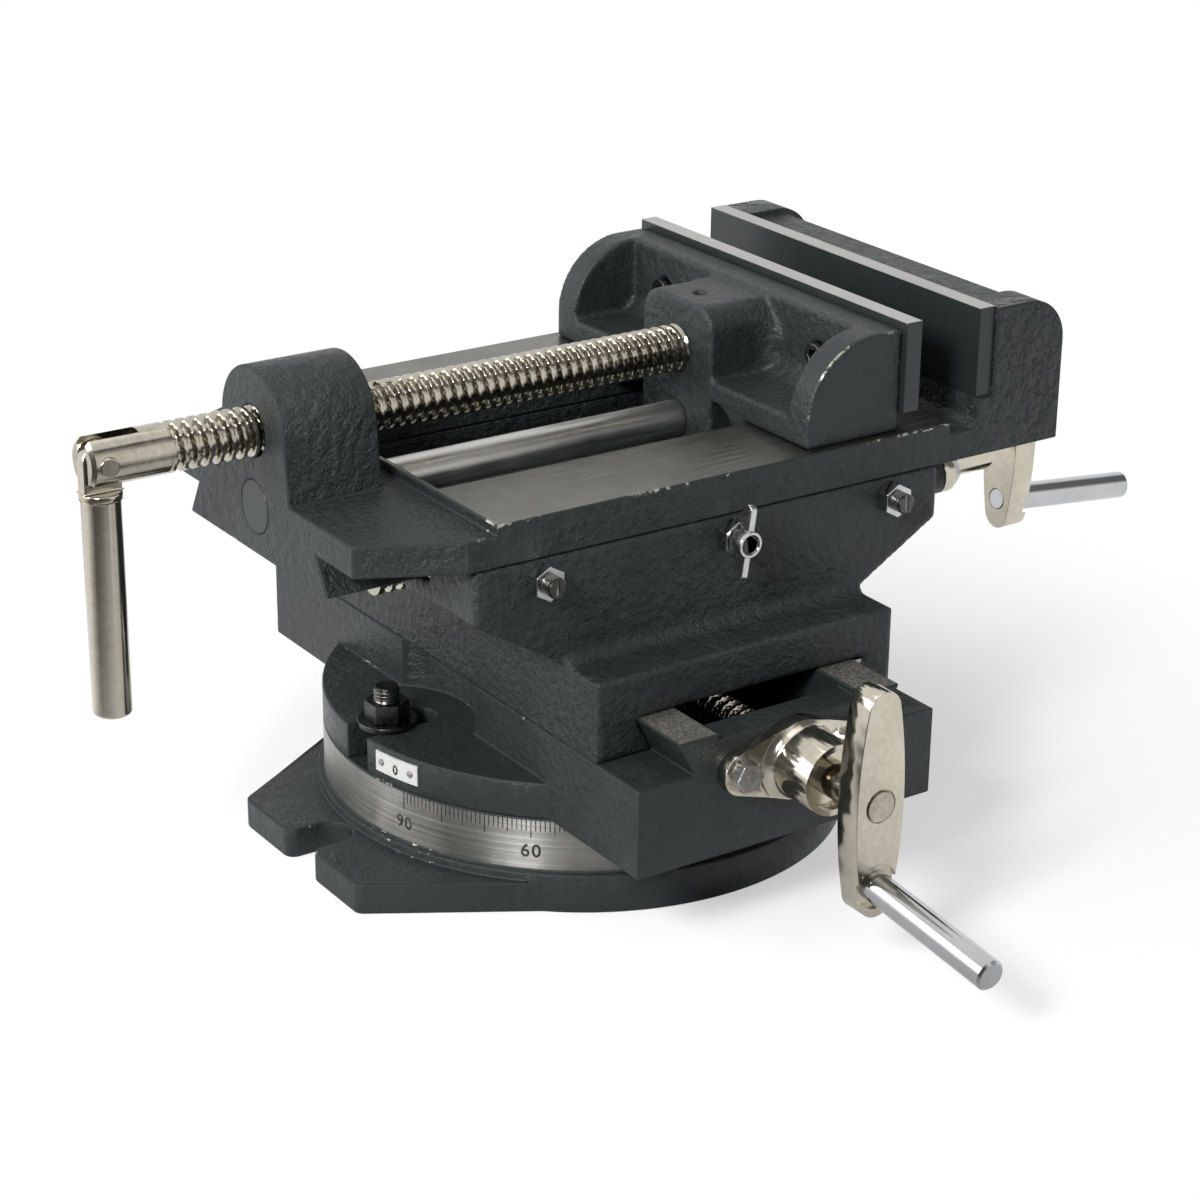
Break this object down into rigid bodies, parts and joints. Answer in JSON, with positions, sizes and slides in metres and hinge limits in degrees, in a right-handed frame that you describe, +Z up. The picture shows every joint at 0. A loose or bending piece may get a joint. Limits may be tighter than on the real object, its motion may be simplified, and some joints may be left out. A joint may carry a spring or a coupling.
{
  "type": "cross slide vise",
  "caption": "Bench vise on crossed dovetail slides over a graduated swivel base, with crank-driven lead screws, a screw-driven jaw with a hinged handle and flat jaw plates.",
  "frame": {"origin": "on the swivel axis at the underside of the base", "axes": "+X along the cross slide to its crank, +Y along the vise screw to the fixed jaw, +Z up"},
  "size_m": [0.3292, 0.4294, 0.1768],
  "materials": {
    "cast": "dark grey enamel over a fine casting texture, bare on the machined faces",
    "steel": "ground and milled",
    "nickel": "warm nickel plate",
    "chrome": "bright chrome plate",
    "zinc": "zinc plate",
    "oxide": "black oxide",
    "bronze": "machined bronze",
    "white_plate": "white enamel"
  },
  "bodies": {
    "base": {"swivel_base": "cast"},
    "swivel": {"lower_slide": "cast", "swivel_pivot": "steel", "swivel_t_bolts": "oxide", "swivel_washers": "oxide", "swivel_nuts": "oxide", "index_plate": "white_plate", "index_plate_pins": "steel", "cross_bracket": "nickel", "cross_bracket_bolts": "zinc"},
    "cross_crank": {"cross_screw": "nickel", "cross_lever": "nickel"},
    "cross_handgrip": {"cross_grip": "chrome"},
    "saddle": {"saddle": "cast", "cross_nut": "bronze", "cross_nut_screws": "oxide", "long_nut": "bronze", "long_nut_screws": "oxide", "cross_gib": "steel", "long_gib": "steel", "cross_gib_screws": "oxide", "cross_gib_nuts": "zinc", "long_gib_screws": "oxide", "long_gib_nuts": "zinc", "wing_lock_nut": "zinc"},
    "wing_lock": {"wing_lock_screw": "zinc"},
    "bed": {"vise_bed": "cast", "guide_rod": "steel", "fixed_jaw_plate": "steel", "fixed_jaw_screws": "oxide", "long_bracket": "nickel", "long_bracket_bolts": "zinc"},
    "long_crank": {"long_screw": "nickel", "long_lever": "nickel"},
    "long_handgrip": {"long_grip": "chrome"},
    "jaw": {"moving_jaw": "cast", "moving_jaw_plate": "steel", "moving_jaw_screws": "oxide", "jaw_retaining_screw": "oxide"},
    "jaw_screw": {"vise_screw": "nickel", "handle_rivet": "nickel"},
    "handle": {"handle_bar": "nickel"}
  },
  "joints": [
    {"name": "swivel_turn", "type": "hinge", "parent": "base", "child": "swivel", "pos_m": [0, 0, 0.032], "axis": [0, 0, 1], "continuous": true},
    {"name": "cross_slide", "type": "slide", "parent": "swivel", "child": "saddle", "axis": [1, 0, 0], "range_m": [-0.045, 0.045]},
    {"name": "cross_crank_turn", "type": "hinge", "parent": "swivel", "child": "cross_crank", "pos_m": [0.1175, 0, 0.06055], "axis": [1, 0, 0], "range_deg": [-4050.5, 4050.5]},
    {"name": "cross_grip_spin", "type": "hinge", "parent": "cross_crank", "child": "cross_handgrip", "pos_m": [0.1606, 0, 0.03355], "axis": [0.9945, 0, -0.1045], "continuous": true},
    {"name": "wing_lock_turn", "type": "hinge", "parent": "saddle", "child": "wing_lock", "pos_m": [0.08, 0.0045, 0.11919], "axis": [1, 0, 0], "range_deg": [-90, 30]},
    {"name": "long_slide", "type": "slide", "parent": "saddle", "child": "bed", "axis": [0, 1, 0], "range_m": [-0.032, 0.044]},
    {"name": "long_crank_turn", "type": "hinge", "parent": "bed", "child": "long_crank", "pos_m": [0, 0.135, 0.09735], "axis": [0, 1, 0], "range_deg": [-2880.5, 3960.5]},
    {"name": "long_grip_spin", "type": "hinge", "parent": "long_crank", "child": "long_handgrip", "pos_m": [0, 0.1931, 0.07035], "axis": [0, 0.9945, -0.1045], "continuous": true},
    {"name": "jaw_slide", "type": "slide", "parent": "bed", "child": "jaw", "axis": [0, 1, 0], "range_m": [-0.11, 0.0242]},
    {"name": "jaw_screw_turn", "type": "hinge", "parent": "jaw", "child": "jaw_screw", "pos_m": [0, 0.037, 0.15505], "axis": [0, 1, 0], "range_deg": [-9899.9, 2177.9]},
    {"name": "handle_swing", "type": "hinge", "parent": "jaw_screw", "child": "handle", "pos_m": [0, -0.1745, 0.15505], "axis": [-1, 0, 0], "range_deg": [0, 180]}
  ],
  "couplings": [
    {"joint": "cross_crank_turn", "follows": "cross_slide", "rad_per_m": -1570.8},
    {"joint": "long_crank_turn", "follows": "long_slide", "rad_per_m": 1570.8},
    {"joint": "jaw_slide", "follows": "jaw_screw_turn", "m_per_rad": 0.00063662}
  ]
}
